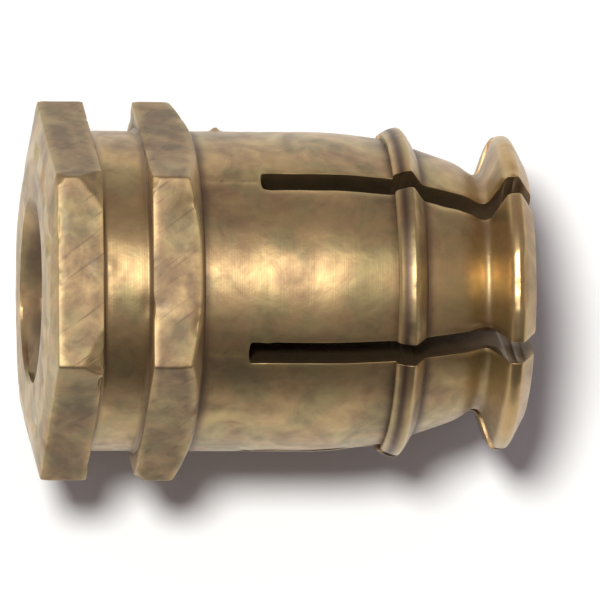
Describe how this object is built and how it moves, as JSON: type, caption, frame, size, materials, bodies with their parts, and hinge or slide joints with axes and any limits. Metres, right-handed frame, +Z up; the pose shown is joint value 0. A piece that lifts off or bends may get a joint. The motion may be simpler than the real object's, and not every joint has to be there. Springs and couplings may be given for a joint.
{
  "type": "wall anchor",
  "caption": "Brass expansion anchor: threaded hexagonal head and collar with spring fingers that a driven screw spreads in a wall hole.",
  "frame": {"origin": "centre of the bore in the head's outer face", "axes": "+X along the bore from the head into the wall, towards the finger tips; +Z up, square to the flat of the hexagon that faces up, with the anchor lying on the opposite flat"},
  "size_m": [0.0165, 0.0128, 0.0112],
  "materials": {
    "brass": "turned, aged and tarnished"
  },
  "bodies": {
    "sleeve": {"head_flange": "brass", "flange_collar": "brass", "lock_flange": "brass", "barrel": "brass"},
    "finger_1": {"finger_1_shank": "brass", "finger_1_grip": "brass", "finger_1_tip": "brass"},
    "finger_2": {"finger_2_shank": "brass", "finger_2_grip": "brass", "finger_2_tip": "brass"},
    "finger_3": {"finger_3_shank": "brass", "finger_3_grip": "brass", "finger_3_tip": "brass"},
    "finger_4": {"finger_4_shank": "brass", "finger_4_grip": "brass", "finger_4_tip": "brass"},
    "finger_5": {"finger_5_shank": "brass", "finger_5_grip": "brass", "finger_5_tip": "brass"},
    "finger_6": {"finger_6_shank": "brass", "finger_6_grip": "brass", "finger_6_tip": "brass"}
  },
  "joints": [
    {"name": "finger_1_spread", "type": "hinge", "parent": "sleeve", "child": "finger_1", "pos_m": [0.00735, 0.00037, 0.00536], "axis": [0, -0.9976, 0.0698], "range_deg": [0, 7], "stiffness_Nm_per_rad": 15},
    {"name": "finger_2_spread", "type": "hinge", "parent": "sleeve", "child": "finger_2", "pos_m": [0.00735, 0.00474, 0.00252], "axis": [0, -0.4695, 0.8829], "range_deg": [0, 7], "stiffness_Nm_per_rad": 15},
    {"name": "finger_3_spread", "type": "hinge", "parent": "sleeve", "child": "finger_3", "pos_m": [0.00735, 0.0047, -0.0026], "axis": [0, 0.4848, 0.8746], "range_deg": [0, 7], "stiffness_Nm_per_rad": 15},
    {"name": "finger_4_spread", "type": "hinge", "parent": "sleeve", "child": "finger_4", "pos_m": [0.00735, -0.00037, -0.00536], "axis": [0, 0.9976, -0.0698], "range_deg": [0, 7], "stiffness_Nm_per_rad": 15},
    {"name": "finger_5_spread", "type": "hinge", "parent": "sleeve", "child": "finger_5", "pos_m": [0.00735, -0.00474, -0.00252], "axis": [0, 0.4695, -0.8829], "range_deg": [0, 7], "stiffness_Nm_per_rad": 15},
    {"name": "finger_6_spread", "type": "hinge", "parent": "sleeve", "child": "finger_6", "pos_m": [0.00735, -0.0047, 0.0026], "axis": [0, -0.4848, -0.8746], "range_deg": [0, 7], "stiffness_Nm_per_rad": 15}
  ],
  "couplings": [
    {"joint": "finger_2_spread", "follows": "finger_1_spread", "ratio": 1},
    {"joint": "finger_3_spread", "follows": "finger_1_spread", "ratio": 1},
    {"joint": "finger_4_spread", "follows": "finger_1_spread", "ratio": 1},
    {"joint": "finger_5_spread", "follows": "finger_1_spread", "ratio": 1},
    {"joint": "finger_6_spread", "follows": "finger_1_spread", "ratio": 1}
  ]
}
